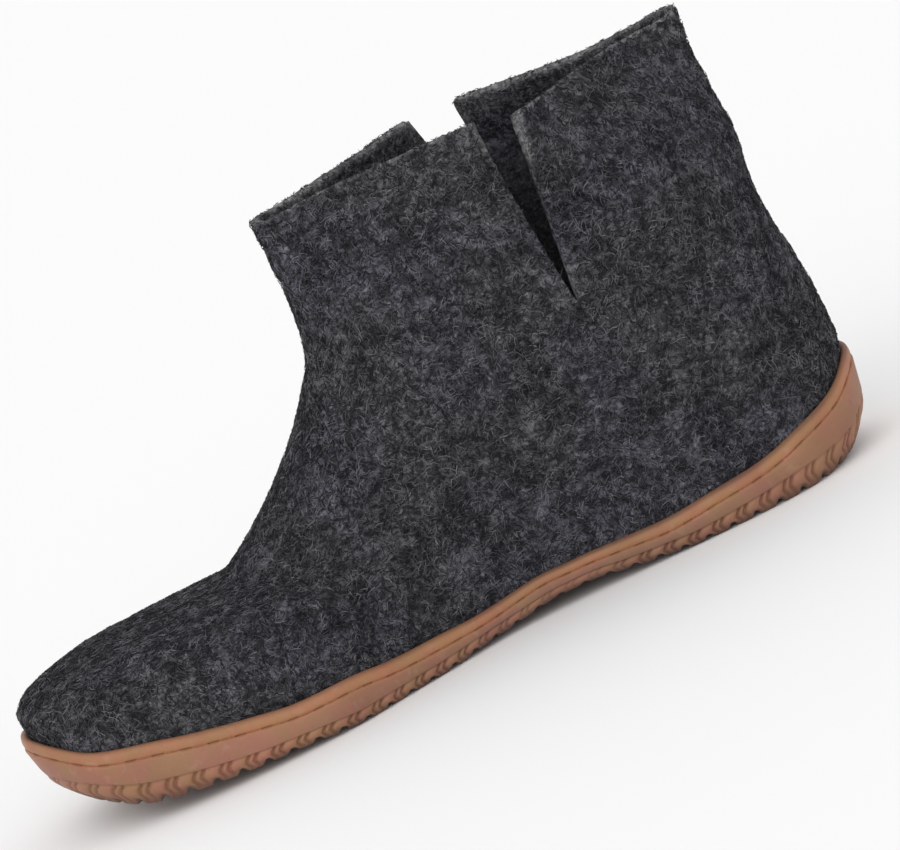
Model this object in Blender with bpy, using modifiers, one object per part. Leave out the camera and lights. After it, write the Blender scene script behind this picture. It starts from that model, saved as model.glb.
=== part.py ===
"""A felted wool ankle boot with a split collar on a stitched rubber cup sole, for the right foot.

The toe points to -X, the medial (inner) side is at -Y and the floor is Z = 0. Tables and sizes are in
millimetres, and each mesh is scaled to metres as it is made.
"""

import math

import bmesh
import bpy
import numpy as np

MM = 0.001

# Driving sizes of the boot.
FELT_LENGTH = 281.6
FELT_WALL = 3.5
INSOLE_THICKNESS = 4.0
GAP = 0.3
REAR_COLUMNS = 9
FRONT_COLUMNS = 19
SIDES = {"medial": -1, "lateral": 1}

# Plan of the felt where it meets the sole: share of the length from heel to toe, centre line (lateral is +)
# and half width before the ends are rounded.
OUTLINE_COLUMNS = ("share", "centre", "half_width")
OUTLINE = (
    (0.00, 0.0, 32.0),
    (0.13, 0.0, 32.5),
    (0.30, 3.0, 33.0),
    (0.45, 5.5, 33.5),
    (0.58, 2.5, 39.5),
    (0.70, -1.0, 46.5),
    (0.82, -4.0, 46.0),
    (0.92, -8.0, 44.0),
    (1.00, -10.5, 42.0),
)
HEEL_BLUNTNESS = 8.0
TOE_BLUNTNESS = 5.5

# Sections of the felt upper above the lip, up to the collar. Each is a ring that runs from the back of the
# heel to the ridge of the vamp and sags between them. foot_share says how far it keeps the plan of the sole.
# A pinch of 0.5 leaves an end round, and a higher one presses its walls together along a crease. rows counts
# the rows of points from this section up to the next.
SECTION_COLUMNS = (
    "back_x",
    "back_z",
    "front_x",
    "front_z",
    "sag",
    "half_width",
    "foot_share",
    "back_bluntness",
    "front_bluntness",
    "back_pinch",
    "front_pinch",
    "rows",
)
SECTIONS = {
    "over_lip": (142.5, 37.9, -141.5, 42.2, 15.5, 46.0, 1.00, 7.0, 5.0, 0.50, 0.50, 2),
    "toe_cap": (142.3, 46.9, -135.6, 46.8, 14.5, 45.0, 0.95, 6.0, 4.0, 0.50, 0.50, 2),
    "toe_top": (141.8, 56.0, -113.6, 50.7, 14.0, 44.0, 0.85, 5.0, 2.8, 0.50, 0.50, 2),
    "vamp": (140.8, 64.0, -87.6, 50.1, 12.5, 42.5, 0.70, 4.4, 2.4, 0.50, 0.50, 2),
    "throat": (139.8, 70.0, -71.5, 49.6, 10.0, 41.5, 0.55, 4.0, 2.4, 0.50, 0.50, 2),
    "instep": (138.5, 78.5, -46.0, 63.6, 7.5, 40.0, 0.40, 3.5, 2.3, 0.50, 0.50, 3),
    "slit_tip": (137.8, 91.0, -21.8, 86.9, 2.5, 39.0, 0.20, 3.0, 2.2, 0.52, 0.52, 2),
    "ankle": (139.1, 103.0, -11.3, 104.3, 0.5, 39.5, 0.05, 2.4, 2.1, 0.65, 0.62, 2),
    "shaft": (138.9, 123.0, -9.2, 124.2, 0.0, 41.0, 0.00, 1.8, 1.7, 0.95, 0.90, 3),
    "collar": (138.9, 151.2, -9.9, 147.5, 0.0, 43.0, 0.00, 1.2, 1.1, 2.00, 1.50, 1),
}
# How far the felt swells out over the lip, and how tightly it folds along the creases of the shaft.
FELT_BULGE = 1.2
CREASE_RADIUS = 4.8

# The slit on each side of the collar: where it starts, where its middle is at the top, and its half width
# there.
SLIT_TIP_X = 67.9
SLIT_TOP_X = {"medial": 66.5, "lateral": 59.3}
SLIT_HALF_GAP = {"medial": 5.4, "lateral": 9.2}
# How far each panel's corner stands out (+) or in (-) beside the slit, droops, and is bent to the back.
SLIT_CORNER = {
    ("medial", "rear"): (6.0, 0.5, 3.0),
    ("medial", "front"): (-4.0, -1.0, 0.0),
    ("lateral", "rear"): (-4.0, -0.7, 0.0),
    ("lateral", "front"): (4.0, -1.7, 0.0),
}

# Side view of the sole at stations along the boot: rise of the tread above the floor, top of the floor inside
# the cup, and top of the lip.
SOLE_COLUMNS = ("x", "tread", "floor", "lip")
SOLE_LINE = (
    (-145.0, 16.2, 26.0, 37.3),
    (-134.0, 11.6, 19.4, 31.8),
    (-126.0, 8.8, 16.8, 28.2),
    (-118.0, 6.4, 14.8, 26.2),
    (-104.0, 4.6, 12.6, 23.6),
    (-92.0, 3.5, 11.4, 20.8),
    (-80.0, 2.6, 10.4, 18.0),
    (-64.0, 1.8, 9.4, 15.9),
    (-54.0, 0.9, 8.8, 15.4),
    (-44.0, 0.0, 8.3, 14.6),
    (-32.0, 0.0, 7.8, 12.9),
    (-20.0, 0.0, 7.2, 11.8),
    (-6.0, 1.0, 6.9, 11.3),
    (10.0, 2.5, 7.4, 11.8),
    (26.0, 4.3, 8.4, 13.0),
    (36.0, 4.3, 8.5, 13.0),
    (48.0, 2.6, 8.0, 12.5),
    (62.0, 0.9, 7.5, 12.3),
    (74.0, 0.0, 7.5, 12.7),
    (88.0, 0.0, 7.8, 13.9),
    (104.0, 0.0, 8.4, 16.5),
    (114.0, 0.0, 8.9, 19.0),
    (122.0, 0.3, 9.6, 21.2),
    (130.0, 1.3, 10.8, 24.1),
    (138.0, 4.8, 13.0, 28.4),
    (145.0, 7.9, 16.0, 32.0),
)

# Profile of the sole's edge from the lip down: what a height is measured from, how far the edge stands
# outside the felt and its height there, on the long sides and at the round toe and heel.
EDGE_COLUMNS = ("measured_from", "side_out", "side_height", "end_out", "end_height")
SOLE_EDGE = {
    "lip_inner": ("lip", GAP, 0.0, GAP, 0.0),
    "lip_outer": ("lip", 2.3, -0.4, 2.7, -0.4),
    "bead": ("lip", 3.1, -1.9, 3.2, -2.0),
    "groove_top": ("lip", 3.0, -3.5, 3.3, -3.7),
    "groove": ("lip", 2.2, -4.1, 2.5, -4.3),
    "wall_top": ("lip", 3.1, -4.7, 3.4, -4.9),
    "wall_foot": ("tread", 3.5, 4.4, 1.9, 8.5),
    "lug_edge": ("tread", 2.9, 1.5, -1.2, 3.6),
    "ground": ("tread", 0.8, 0.0, -7.5, 0.0),
}
# Length of each round end over which the edge changes from its side to its end profile.
END_REACH = 34.0
# Where the wall is lower or the floor thinner than this, as at the waist, the edge's rows close up and the
# grooves are shallower in proportion.
FULL_WALL = 13.0
FULL_FLOOR = 8.0

# Tread: lugs round the edge, divided by grooves that run from the side wall under the sole, and wavy grooves
# across the forefoot and the heel inside them.
LUG_PITCH = 8.6
GROOVE_WIDTH = 2.8
GROOVE_DEPTH = 2.0
SIDE_GROOVE_DEPTH = 1.1
LUG_LENGTH = 8.0
WAVE_PITCH = 9.0
WAVE_HEIGHT = 3.0
WAVE_STEP = 8.0
WAVE_FIELDS = ((-106.0, -18.0), (62.0, 116.0))
# Room left between the lugs at the edge and the wavy grooves, and how far a cutter stands out of the sole
# below and beside it.
FIELD_MARGIN = 4.0
CUT_CLEAR = 3.0
CUT_REACH = 14.0
# Section of a lug groove: the row of the edge it follows, how far inside that row and how far above it.
GROOVE_PROFILE = (
    ("wall_foot", -CUT_CLEAR, 0.0),
    ("wall_foot", SIDE_GROOVE_DEPTH, 0.0),
    ("lug_edge", SIDE_GROOVE_DEPTH, SIDE_GROOVE_DEPTH / 2),
    ("ground", 0.0, GROOVE_DEPTH),
    ("ground", LUG_LENGTH, GROOVE_DEPTH),
    ("ground", LUG_LENGTH, -CUT_CLEAR),
    ("ground", -CUT_REACH, -CUT_CLEAR),
)
# Points on the finely divided plan that the lugs are stepped along.
FINE_POINTS = 720

# Points closer than this are welded, and edges that turn more sharply than this stay sharp.
WELD_DISTANCE = 0.003
SHARP_ANGLE = math.radians(35)

FELT_ROUGHNESS = 0.95
RUBBER_ROUGHNESS = 0.6
FELT_COLOUR = (0.028, 0.028, 0.033, 1.0)
RUBBER_COLOUR = (0.41, 0.19, 0.095, 1.0)
INSOLE_COLOUR = (0.035, 0.035, 0.038, 1.0)


def table_column(table, names, name):
    """One named column of a table as an array."""
    return np.array([row[names.index(name)] for row in table], float)


def smooth(stations, values, at):
    """Cubic curve through values at rising stations, which never overshoots them, read at some places."""
    stations, values = np.asarray(stations, float), np.asarray(values, float)
    at = np.clip(np.asarray(at, float), stations[0], stations[-1])
    rates = np.diff(values) / np.diff(stations)
    before, after = rates[:-1], rates[1:]
    same_way = before * after > 0
    mean_rate = 2 * before * after / np.where(same_way, before + after, 1.0)
    slopes = np.concatenate([rates[:1], np.where(same_way, mean_rate, 0.0), rates[-1:]])
    i = np.clip(np.searchsorted(stations, at, side="right") - 1, 0, len(stations) - 2)
    step = stations[i + 1] - stations[i]
    t = (at - stations[i]) / step
    straight = values[i] + t * t * (3 - 2 * t) * (values[i + 1] - values[i])
    return straight + step * t * (1 - t) * ((1 - t) * slopes[i] - t * slopes[i + 1])


def sole_line(name, x):
    """Height of one line of the sole's side view at places x."""
    stations = table_column(SOLE_LINE, SOLE_COLUMNS, "x")
    return smooth(stations, table_column(SOLE_LINE, SOLE_COLUMNS, name), x)


def outline_at(name, x):
    """Centre line or half width of the felt's plan at places x."""
    share = 0.5 - np.asarray(x, float) / FELT_LENGTH
    stations = table_column(OUTLINE, OUTLINE_COLUMNS, "share")
    return smooth(stations, table_column(OUTLINE, OUTLINE_COLUMNS, name), share)


def rounding(share, bluntness, pinch=(0.5, 0.5)):
    """How a ring's half width falls to nothing at its back (share 0) and its front (share 1)."""
    at_back = share < 0.5
    bluntness, pinch = np.where(at_back, *bluntness), np.where(at_back, *pinch)
    return np.clip(1 - np.abs(1 - 2 * share) ** bluntness, 0, None) ** pinch


def crease(share, length, pinch):
    """Half width of the felt's fold at the back and the front of a ring, none where the end is round."""
    depth = np.minimum(share, 1 - share) * length
    fold = np.sqrt(np.clip(1 - np.clip(1 - depth / CREASE_RADIUS, 0, None) ** 2, 0, 1))
    return CREASE_RADIUS * fold * np.clip(4 * (np.where(share < 0.5, *pinch) - 0.5), 0, 1)


def share_at(turns):
    """Share of a ring's length, from its back, at angles round it."""
    return (1 - np.cos(turns)) / 2


def turn_at(share):
    """Angle round a ring, from its back, at a share of its length."""
    return math.acos(1 - 2 * share)


def panel_turns(panel, rear_end, front_start):
    """Angles of a panel's columns on one side, from back to front, up to or from the slit."""
    if panel == "rear":
        return np.linspace(0, turn_at(rear_end), REAR_COLUMNS + 1)
    return np.linspace(turn_at(front_start), math.pi, FRONT_COLUMNS + 1)


def plan_points(side, turns):
    """Plan of the felt at the sole on one side, as x and y at angles from the heel."""
    share = share_at(turns)
    x = FELT_LENGTH * (0.5 - share)
    width = outline_at("half_width", x) * rounding(share, (HEEL_BLUNTNESS, TOE_BLUNTNESS))
    return np.column_stack([x, outline_at("centre", x) + SIDES[side] * width])


def plan_ring(turns):
    """The felt's plan as a closed ring, from the heel along the medial side and back along the lateral."""
    return np.concatenate([plan_points("medial", turns), plan_points("lateral", turns)[-2:0:-1]])


def column_turns():
    """Angles of the columns that the upper, the insole and the sole share where they meet."""
    slit = 0.5 - SLIT_TIP_X / FELT_LENGTH
    return np.concatenate([panel_turns("rear", slit, slit), panel_turns("front", slit, slit)[1:]])


def outward_normals(ring):
    """Unit normals in plan of a ring that runs from the heel along the medial side to the toe."""
    ahead = np.roll(ring, -1, axis=0) - np.roll(ring, 1, axis=0)
    normals = np.column_stack([-ahead[:, 1], ahead[:, 0]])
    return normals / np.linalg.norm(normals, axis=1, keepdims=True)


def moved_out(ring, distance):
    """A plan ring moved outwards by one distance, or by one for each point."""
    return ring + outward_normals(ring) * np.reshape(distance, (-1, 1))


def edge_point(row, x):
    """How far a row of the sole's edge stands outside the felt, and its height, at places x of the plan."""
    edge = dict(zip(EDGE_COLUMNS, SOLE_EDGE[row]))
    reach = np.clip((np.abs(x) - FELT_LENGTH / 2 + END_REACH) / END_REACH, 0, 1)
    end = reach * reach * (3 - 2 * reach)
    out = edge["side_out"] + end * (edge["end_out"] - edge["side_out"])
    height = edge["side_height"] + end * (edge["end_height"] - edge["side_height"])
    wall = sole_line("lip", x) - sole_line("tread", x)
    height = height * np.minimum(1, wall / FULL_WALL)
    return out, height


def edge_ring(plan, row):
    """A row of the sole's edge as a ring round the felt's plan."""
    out, height = edge_point(row, plan[:, 0])
    ring = moved_out(plan, out)
    measured_from = SOLE_EDGE[row][EDGE_COLUMNS.index("measured_from")]
    return np.column_stack([ring, sole_line(measured_from, ring[:, 0]) + height])


def on_floor(plan, lift):
    """A plan ring laid on the cup's floor, lifted by a distance."""
    return np.column_stack([plan, sole_line("floor", plan[:, 0]) + lift])


def section_rows():
    """Every row of the upper above the lip, as its sections and the rows worked out between them."""
    table = list(SECTIONS.values())
    places = []
    for i, section in enumerate(table):
        rows = section[SECTION_COLUMNS.index("rows")]
        places.extend(i + k / rows for k in range(rows))
    stations = np.arange(len(table))
    columns = {
        name: smooth(stations, table_column(table, SECTION_COLUMNS, name), places)
        for name in SECTION_COLUMNS
    }
    return [{name: columns[name][k] for name in SECTION_COLUMNS} for k in range(len(places))]


def slit_opening(row):
    """Share of the slit's full opening at a row: 0 at its tip and below, 1 at the collar."""
    heights = []
    for name in ("slit_tip", "collar"):
        section = dict(zip(SECTION_COLUMNS, SECTIONS[name]))
        heights.append((section["back_z"] + section["front_z"]) / 2 - section["sag"])
    height = (row["back_z"] + row["front_z"]) / 2 - row["sag"]
    return max(0.0, (height - heights[0]) / (heights[1] - heights[0]))


def section_points(row, side, panel):
    """One panel's points on one side of a row of the upper, from back to front."""
    opening = slit_opening(row)
    length = row["back_x"] - row["front_x"]
    middle = SLIT_TIP_X + opening * (SLIT_TOP_X[side] - SLIT_TIP_X)
    middle = (row["back_x"] - middle) / length
    half_gap = opening * SLIT_HALF_GAP[side] / length
    turns = panel_turns(panel, middle - half_gap, middle + half_gap)
    share = share_at(turns)
    x = row["back_x"] - share * length
    z = row["back_z"] + share * (row["front_z"] - row["back_z"]) - row["sag"] * 4 * share * (1 - share)
    plan_width = outline_at("half_width", x) + FELT_BULGE
    width = row["foot_share"] * plan_width + (1 - row["foot_share"]) * row["half_width"]
    pinch = (row["back_pinch"], row["front_pinch"])
    fold = crease(share, length, pinch)
    width = fold + (width - fold) * rounding(share, (row["back_bluntness"], row["front_bluntness"]), pinch)
    nearness = np.linspace(0, 1, len(turns)) ** 2
    if panel == "front":
        nearness = nearness[::-1]
    out, droop, lean = SLIT_CORNER[side, panel]
    width = width + out * opening * nearness
    z = z - droop * opening * nearness
    x = x + lean * opening ** 3 * nearness
    y = row["foot_share"] * outline_at("centre", x) + SIDES[side] * width
    return np.column_stack([x, y, z])


def panel_grid(side, panel):
    """Rows of points of one panel on one side of the upper, from its seat in the cup to the collar."""
    slit = 0.5 - SLIT_TIP_X / FELT_LENGTH
    plan = plan_points(side, panel_turns(panel, slit, slit))
    seat = on_floor(plan, GAP)
    at_lip = np.column_stack([plan, sole_line("lip", plan[:, 0]) + GAP])
    return [seat, at_lip] + [section_points(row, side, panel) for row in section_rows()]


def add_grid(mesh_builder, rows):
    """Adds a sheet of quads through rows of points."""
    grid = [[mesh_builder.verts.new(point) for point in row] for row in rows]
    for low, high in zip(grid, grid[1:]):
        for j in range(len(low) - 1):
            mesh_builder.faces.new((low[j], low[j + 1], high[j + 1], high[j]))


def bridge_across(mesh_builder, ring):
    """Closes a ring with strips from each medial point to the lateral point beside it."""
    count = len(ring)
    for i in range(count // 2):
        corners = (ring[i], ring[i + 1], ring[count - i - 1], ring[(count - i) % count])
        mesh_builder.faces.new(list(dict.fromkeys(corners)))


def add_tube(mesh_builder, sections):
    """Adds walls through closed sections of equal length. Returns the points of the first and the last."""
    rows = [[mesh_builder.verts.new(point) for point in section] for section in sections]
    for low, high in zip(rows, rows[1:]):
        for j in range(len(low)):
            mesh_builder.faces.new((low[j - 1], low[j], high[j], high[j - 1]))
    return rows[0], rows[-1]


def add_bar(mesh_builder, sections):
    """Adds a closed bar through sections of equal length, with one flat face at each end."""
    for end in add_tube(mesh_builder, sections):
        mesh_builder.faces.new(end)


def loft(rings):
    """A closed body through rings of equal length, with the first and the last bridged across."""
    made = bmesh.new()
    for end in add_tube(made, rings):
        bridge_across(made, end)
    return made


def centre_shift():
    """Sideways shift that puts the middle of the sole's width on the X axis."""
    y = edge_ring(plan_ring(column_turns()), "wall_foot")[:, 1]
    return -(y.max() + y.min()) / 2


def mesh_object(name, mesh_builder, collection):
    """A named object from a bmesh in millimetres, facing outwards, shaded smooth and scaled to metres."""
    bmesh.ops.recalc_face_normals(mesh_builder, faces=mesh_builder.faces)
    bmesh.ops.translate(mesh_builder, vec=(0, centre_shift(), 0), verts=mesh_builder.verts)
    bmesh.ops.scale(mesh_builder, vec=(MM, MM, MM), verts=mesh_builder.verts)
    mesh = bpy.data.meshes.new(name)
    mesh_builder.to_mesh(mesh)
    mesh_builder.free()
    mesh.shade_smooth()
    mesh.set_sharp_from_angle(angle=SHARP_ANGLE)
    made = bpy.data.objects.new(name, mesh)
    collection.objects.link(made)
    return made


def give_material(made, name, colour, roughness):
    """Gives an object its own plain material."""
    finish = bpy.data.materials.new(name)
    finish.use_nodes = True
    shader = finish.node_tree.nodes["Principled BSDF"]
    shader.inputs["Base Color"].default_value = colour
    shader.inputs["Roughness"].default_value = roughness
    shader.inputs["Metallic"].default_value = 0.0
    made.data.materials.append(finish)


def make_upper(collection):
    """The felt shell: four sheets welded at heel, vamp and below the slits, then given the felt's wall."""
    sheet = bmesh.new()
    for side in SIDES:
        for panel in ("rear", "front"):
            add_grid(sheet, panel_grid(side, panel))
    bmesh.ops.remove_doubles(sheet, verts=sheet.verts, dist=WELD_DISTANCE)
    upper = mesh_object("upper", sheet, collection)
    wall = upper.modifiers.new("felt_wall", "SOLIDIFY")
    wall.thickness = FELT_WALL * MM
    wall.offset = -1.0
    wall.use_even_offset = True
    give_material(upper, "charcoal_felt", FELT_COLOUR, FELT_ROUGHNESS)


def make_insole(collection):
    """The felt footbed, which follows the cup's floor inside the upper."""
    plan = moved_out(plan_ring(column_turns()), -(FELT_WALL + GAP))
    faces = [on_floor(plan, lift) for lift in (GAP, GAP + INSOLE_THICKNESS)]
    insole = mesh_object("insole", loft(faces), collection)
    give_material(insole, "insole_felt", INSOLE_COLOUR, FELT_ROUGHNESS)


def lug_grooves():
    """Grooves all round the edge, each cut to an even depth from the side wall round under the sole."""
    made = bmesh.new()
    fine = plan_ring(np.linspace(0, math.pi, FINE_POINTS // 2 + 1))
    normals = outward_normals(fine)
    steps = np.linalg.norm(np.roll(fine, -1, axis=0) - fine, axis=1)
    walked = np.concatenate([[0], np.cumsum(steps)])
    count = round(walked[-1] / LUG_PITCH)
    for k in range(count):
        i = int(np.searchsorted(walked, walked[-1] * k / count)) % len(fine)
        point, normal = fine[i], normals[i]
        along = np.array([-normal[1], normal[0]]) * GROOVE_WIDTH / 2
        corners = []
        for row, depth, lift in GROOVE_PROFILE:
            out, height = edge_point(row, point[0])
            place = point + normal * (out - depth)
            tread = sole_line("tread", place[0])
            thickness = min(1.0, (sole_line("floor", place[0]) - tread) / FULL_FLOOR)
            corners.append((place, tread + height + lift * thickness))
        add_bar(made, [[(*(place + way * along), z) for place, z in corners] for way in (1, -1)])
    return made


def wave_grooves():
    """Wavy grooves across the forefoot and the heel, inside the lugs."""
    made = bmesh.new()
    for start, end in WAVE_FIELDS:
        for middle in np.arange(start, end, WAVE_PITCH):
            share = 0.5 - middle / FELT_LENGTH
            reach = outline_at("half_width", middle) * rounding(share, (HEEL_BLUNTNESS, TOE_BLUNTNESS))
            reach = reach - LUG_LENGTH - FIELD_MARGIN
            steps = int(2 * reach / WAVE_STEP)
            y = outline_at("centre", middle) + np.linspace(-reach, reach, steps + 1)
            x = middle + WAVE_HEIGHT / 2 * (-1.0) ** np.arange(steps + 1)
            low, high = -CUT_CLEAR, sole_line("tread", middle) + GROOVE_DEPTH
            square = ((-1, low), (1, low), (1, high), (-1, high))
            half = GROOVE_WIDTH / 2
            add_bar(made, [[(px + way * half, py, z) for way, z in square] for px, py in zip(x, y)])
    return made


def make_outsole(collection, cutters):
    """The rubber cup: floor, lip, stitch groove, side wall and tread, with its lugs cut out of the solid."""
    plan = plan_ring(column_turns())
    rings = [on_floor(moved_out(plan, GAP), 0.0)] + [edge_ring(plan, row) for row in SOLE_EDGE]
    outsole = mesh_object("outsole", loft(rings), collection)
    for name, grooves in (("lug_grooves", lug_grooves()), ("wave_grooves", wave_grooves())):
        cutter = mesh_object(name, grooves, cutters)
        cutter.hide_render = True
        cutter.display_type = "WIRE"
        cut = outsole.modifiers.new(name, "BOOLEAN")
        cut.operation = "DIFFERENCE"
        cut.solver = "EXACT"
        cut.object = cutter
    give_material(outsole, "gum_rubber", RUBBER_COLOUR, RUBBER_ROUGHNESS)


def main():
    for old in list(bpy.data.objects):
        bpy.data.objects.remove(old, do_unlink=True)
    boot = bpy.data.collections.new("wool_boot")
    cutters = bpy.data.collections.new("cutters")
    for collection in (boot, cutters):
        bpy.context.scene.collection.children.link(collection)
    make_outsole(boot, cutters)
    make_insole(boot)
    make_upper(boot)


main()
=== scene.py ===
"""Looks of the wool boot: a felted ankle boot with a split collar on a stitched rubber cup sole.

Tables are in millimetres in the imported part's frame: toe to -X, medial side to -Y, floor at Z = 0.
"""

import math

import bmesh
import bpy
import numpy as np
from mathutils import Matrix, Vector, noise


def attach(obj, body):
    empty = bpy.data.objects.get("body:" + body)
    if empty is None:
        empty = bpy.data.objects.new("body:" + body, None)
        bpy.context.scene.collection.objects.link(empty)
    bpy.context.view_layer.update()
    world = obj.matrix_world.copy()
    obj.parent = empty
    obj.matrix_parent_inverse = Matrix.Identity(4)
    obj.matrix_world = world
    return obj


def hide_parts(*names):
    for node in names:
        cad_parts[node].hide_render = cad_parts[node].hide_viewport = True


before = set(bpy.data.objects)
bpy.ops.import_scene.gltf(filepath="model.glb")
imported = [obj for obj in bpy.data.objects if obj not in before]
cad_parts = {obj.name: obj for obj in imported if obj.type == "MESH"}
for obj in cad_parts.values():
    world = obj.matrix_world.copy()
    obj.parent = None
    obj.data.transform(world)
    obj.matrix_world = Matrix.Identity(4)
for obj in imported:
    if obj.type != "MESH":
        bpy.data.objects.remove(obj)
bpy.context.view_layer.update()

# Outsole
# One moulding of caramel natural rubber, a cup that the felt is glued and stitched into. It has a rolled lip,
# a groove for the stitches, a plain side wall, and lugs round its edge.

MM = 0.001
SIDES = {"medial": -1, "lateral": 1}
FELT_LENGTH = 281.6
# Between the felt and the cup, and between the cup and the footbed.
GAP = 0.3
# Puts the middle of the sole's width on the X axis, as in the part.
SIDE_SHIFT = 1.298

# Plan of the felt where it meets the sole: share of the length from heel to toe, centre line, half width.
OUTLINE = np.array([
    (0.00, 0.0, 32.0),
    (0.13, 0.0, 32.5),
    (0.30, 3.0, 33.0),
    (0.45, 5.5, 33.5),
    (0.58, 2.5, 39.5),
    (0.70, -1.0, 46.5),
    (0.82, -4.0, 46.0),
    (0.92, -8.0, 44.0),
    (1.00, -10.5, 42.0),
])
OUTLINE_COLUMNS = {"centre": 1, "half_width": 2}
HEEL_BLUNTNESS = 8.0
TOE_BLUNTNESS = 5.5
# Power that gives a ring a round end. A greater one pinches it.
ROUND_PINCH = 0.5
# Points that each side of the plan is measured by.
PLAN_POINTS = 4001

# Side view of the sole: station, rise of the tread, top of the floor inside the cup, top of the lip.
SOLE_LINE = np.array([
    (-145.0, 16.2, 26.0, 37.3),
    (-134.0, 11.6, 19.4, 31.8),
    (-126.0, 8.8, 16.8, 28.2),
    (-118.0, 6.4, 14.8, 26.2),
    (-104.0, 4.6, 12.6, 23.6),
    (-92.0, 3.5, 11.4, 20.8),
    (-80.0, 2.6, 10.4, 18.0),
    (-64.0, 1.8, 9.4, 15.9),
    (-54.0, 0.9, 8.8, 15.4),
    (-44.0, 0.0, 8.3, 14.6),
    (-32.0, 0.0, 7.8, 12.9),
    (-20.0, 0.0, 7.2, 11.8),
    (-6.0, 1.0, 6.9, 11.3),
    (10.0, 2.5, 7.4, 11.8),
    (26.0, 4.3, 8.4, 13.0),
    (36.0, 4.3, 8.5, 13.0),
    (48.0, 2.6, 8.0, 12.5),
    (62.0, 0.9, 7.5, 12.3),
    (74.0, 0.0, 7.5, 12.7),
    (88.0, 0.0, 7.8, 13.9),
    (104.0, 0.0, 8.4, 16.5),
    (114.0, 0.0, 8.9, 19.0),
    (122.0, 0.3, 9.6, 21.2),
    (130.0, 1.3, 10.8, 24.1),
    (138.0, 4.8, 13.0, 28.4),
    (145.0, 7.9, 16.0, 32.0),
])
SOLE_COLUMNS = {"tread": 1, "floor": 2, "lip": 3}

# Profile of the sole's edge: what its height is measured from, then how far it stands outside the felt and
# its height on the long sides and at the round ends, how deep the lug grooves are there, how far they lean to
# the toe, how much of a notch and of a stitch hole is cut, how warm its colour is, and how much darker it
# is with dirt and with painted shade, most of all along the lugs' undersides.
EDGE_COLUMNS = (
    "measured_from", "side_out", "side_height", "end_out", "end_height",
    "groove", "lean", "notch", "hole", "warmth", "grime",
)
SOLE_EDGE = (
    ("lip", 0.3, -0.7, 0.3, -0.7, 0, 0, 0, 0, 0.4, 0.7),
    ("lip", 0.7, -0.15, 0.8, -0.15, 0, 0, 0, 0, 0.2, 0.3),
    ("lip", 1.3, 0.0, 1.5, 0.0, 0, 0, 0, 0, 0.2, 0.08),
    ("lip", 2.0, -0.2, 2.3, -0.2, 0, 0, 0, 0, 0.6, 0.2),
    ("lip", 2.6, -0.7, 2.85, -0.7, 0, 0, 0, 0, 1.0, 0.16),
    ("lip", 2.95, -1.4, 3.1, -1.45, 0, 0, 0, 0, 1.0, 0.04),
    ("lip", 3.1, -2.1, 3.25, -2.2, 0, 0, 0, 0, 0.9, 0.0),
    ("lip", 3.1, -2.9, 3.3, -3.0, 0, 0, 0, 0, 0.9, 0.0),
    ("lip", 3.0, -3.45, 3.25, -3.6, 0, 0, 0, 0, 1.0, 0.0),
    ("lip", 2.75, -3.85, 3.0, -4.0, 0, 0, 0, 0.1, 1.0, 0.0),
    ("lip", 2.45, -4.1, 2.7, -4.3, 0, 0, 0, 1, 1.0, 0.03),
    ("lip", 2.75, -4.35, 3.0, -4.6, 0, 0, 0, 0.1, 0.9, 0.0),
    ("lip", 3.05, -4.75, 3.35, -5.0, 0, 0, 0, 0, 0.5, 0.0),
    ("lip", 3.2, -5.2, 3.45, -5.45, 0, 0, 0, 0, 0.2, 0.0),
    ("tread", 3.5, 4.7, 1.95, 9.5, 0, 0, 0, 0, 0.0, 0.05),
    ("tread", 3.45, 4.45, 1.8, 9.1, 0, 0, 0, 0, 0.0, 0.08),
    ("tread", 3.05, 4.2, 1.35, 8.7, 0.4, -0.9, 0, 0, 0.1, 0.2),
    ("tread", 3.05, 3.8, 1.2, 8.0, 1, -0.6, 0, 0, 0.3, 0.05),
    ("tread", 3.2, 3.2, 0.8, 6.8, 1, 0.2, 0, 0, 0.3, 0.05),
    ("tread", 3.15, 2.3, -0.3, 5.1, 1, 0.8, 0, 0, 0.2, 0.1),
    ("tread", 2.8, 1.5, -1.5, 3.7, 0.9, 0.3, 0.15, 0, 0.1, 0.25),
    ("tread", 2.2, 0.7, -3.8, 1.9, 0.5, -0.3, 0.7, 0, 0.0, 0.55),
    ("tread", 1.5, 0.15, -6.0, 0.5, 0, 0, 1, 0, 0.0, 0.7),
    ("tread", 0.8, 0.0, -7.5, 0.0, 0, 0, 1, 0, 0.0, 0.45),
    ("tread", -7.0, 0.0, -15.2, 0.0, 0, 0, 1, 0, 0.0, 0.3),
    ("tread", -7.3, 0.3, -15.5, 0.3, 0, 0, 0.8, 0, 0.0, 0.45),
    ("tread", -7.6, 2.0, -15.8, 2.0, 0, 0, 0, 0, 0.0, 0.6),
)
# How far from the toe and the heel the edge is turned under, its lugs are taller, and they lean less.
TURN_REACH = 34.0
TALL_REACH = 80.0
LEAN_FADE = 6.0
# Where the wall is lower than this, as at the waist, its rows close up in proportion, and below the second
# height the lugs have faded out.
FULL_WALL = 11.5
BARE_WALL = 7.6

# Lugs along each side, depth of their cuts, share of a notch left where they have faded out, and painted
# shade in their grooves, notches and stitch holes, with a painted highlight where a block bulges.
LUGS_A_SIDE = 39
SIDE_GROOVE_DEPTH = 1.05
NOTCH_DEPTH = 1.5
HOLE_DEPTH = 0.65
BARE_NOTCH = 0.3
GROOVE_SHADE_AND_HIGHLIGHT = 0.22
NOTCH_PAINTED_SHADE = 0.2
HOLE_PAINTED_SHADE = 0.4
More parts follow.
